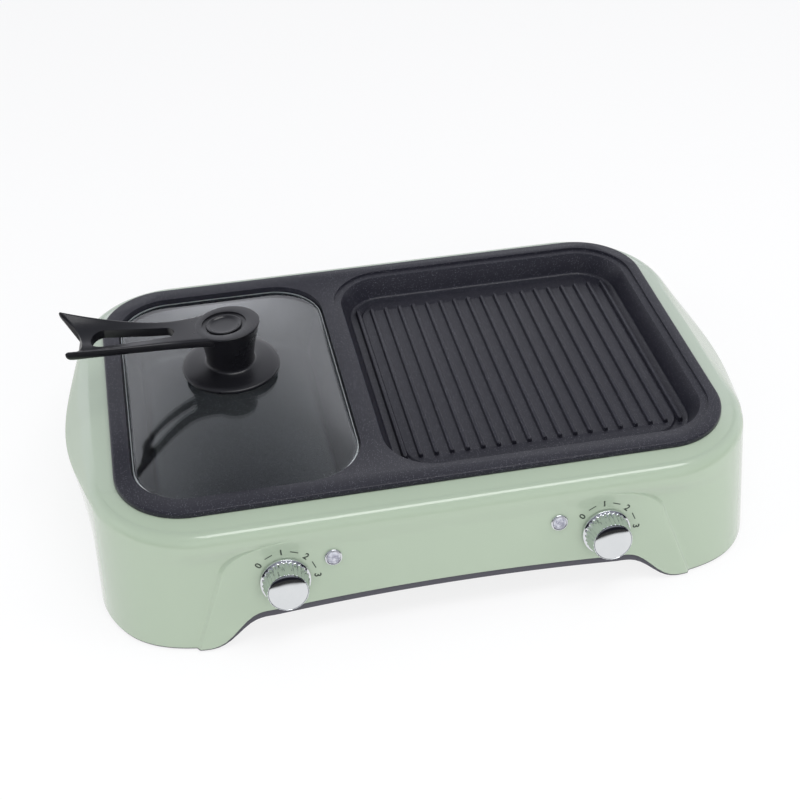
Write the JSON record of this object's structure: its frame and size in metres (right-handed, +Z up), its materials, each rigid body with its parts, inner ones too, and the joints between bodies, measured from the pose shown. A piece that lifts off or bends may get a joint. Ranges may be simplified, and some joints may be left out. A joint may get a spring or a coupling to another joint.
{
  "type": "hot pot grill combo",
  "caption": "Countertop cooker: a glass-lidded pot well beside a ribbed grill in a cast plate, in an arched moulded housing, with a knob and a lamp for each side.",
  "frame": {"origin": "on the table, under the middle of the overall box", "axes": "+X to the right as seen by someone at the controls, +Y to the back, +Z up"},
  "size_m": [0.5318, 0.3681, 0.1716],
  "materials": {
    "housing_green": "gloss",
    "base_black": "matt",
    "foot_rubber": "matt",
    "nonstick_casting": "non-stick coating",
    "clear_glass": "clear",
    "handle_black": "satin",
    "silicone": "matt",
    "chrome_plating": "polished",
    "lens_clear": "clear, fluted",
    "steel_sheet": "plain",
    "element_sheath": "oxidised",
    "screw_zinc": "zinc plated",
    "contact_brass": "nickel plated",
    "black_phenolic": "matt"
  },
  "bodies": {
    "cooker": {"housing_shell": "housing_green", "base_cover": "base_black", "left_front_foot_pad": "foot_rubber", "left_back_foot_pad": "foot_rubber", "right_front_foot_pad": "foot_rubber", "right_back_foot_pad": "foot_rubber", "left_front_base_screw": "screw_zinc", "left_back_base_screw": "screw_zinc", "right_front_base_screw": "screw_zinc", "right_back_base_screw": "screw_zinc", "middle_front_base_screw": "screw_zinc", "middle_back_base_screw": "screw_zinc", "cooking_plate": "nonstick_casting", "divider_front_plate_clip": "steel_sheet", "divider_back_plate_clip": "steel_sheet", "grill_front_plate_clip": "steel_sheet", "grill_back_plate_clip": "steel_sheet", "divider_front_clip_screw": "screw_zinc", "divider_back_clip_screw": "screw_zinc", "grill_front_clip_screw": "screw_zinc", "grill_back_clip_screw": "screw_zinc", "pot_heating_element": "element_sheath", "grill_heating_element": "element_sheath", "pot_heat_shield": "steel_sheet", "grill_heat_shield": "steel_sheet", "pot_front_shield_screw": "screw_zinc", "pot_back_shield_screw": "screw_zinc", "grill_front_shield_screw": "screw_zinc", "grill_back_shield_screw": "screw_zinc", "pot_thermal_cutout": "steel_sheet", "grill_thermal_cutout": "steel_sheet", "left_switch_body": "black_phenolic", "right_switch_body": "black_phenolic", "left_switch_nut": "steel_sheet", "right_switch_nut": "steel_sheet", "left_lamp_bezel": "chrome_plating", "right_lamp_bezel": "chrome_plating", "left_lamp_lens": "lens_clear", "right_lamp_lens": "lens_clear", "inlet_socket": "black_phenolic", "inlet_live_pin": "contact_brass", "inlet_neutral_pin": "contact_brass", "inlet_earth_pin": "contact_brass", "inlet_left_screw": "screw_zinc", "inlet_right_screw": "screw_zinc"},
    "left_knob": {"left_knob_barrel": "chrome_plating", "left_knob_cap": "chrome_plating", "left_switch_shaft": "contact_brass"},
    "right_knob": {"right_knob_barrel": "chrome_plating", "right_knob_cap": "chrome_plating", "right_switch_shaft": "contact_brass"},
    "lid": {"lid_glass": "clear_glass", "lid_handle": "handle_black", "lid_handle_cap": "handle_black", "lid_gasket": "silicone", "lid_washer": "steel_sheet", "lid_nut": "steel_sheet", "lid_screw": "screw_zinc"}
  },
  "joints": [
    {"name": "left_knob_turn", "type": "hinge", "parent": "cooker", "child": "left_knob", "pos_m": [-0.119, -0.16392, 0.0502], "axis": [0, 0.9804, -0.1969], "range_deg": [0, 135]},
    {"name": "right_knob_turn", "type": "hinge", "parent": "cooker", "child": "right_knob", "pos_m": [0.119, -0.16392, 0.0502], "axis": [0, 0.9804, -0.1969], "range_deg": [0, 135]},
    {"name": "lid_lift", "type": "slide", "parent": "cooker", "child": "lid", "axis": [0, 0, 1], "range_m": [0, 0.15]}
  ]
}
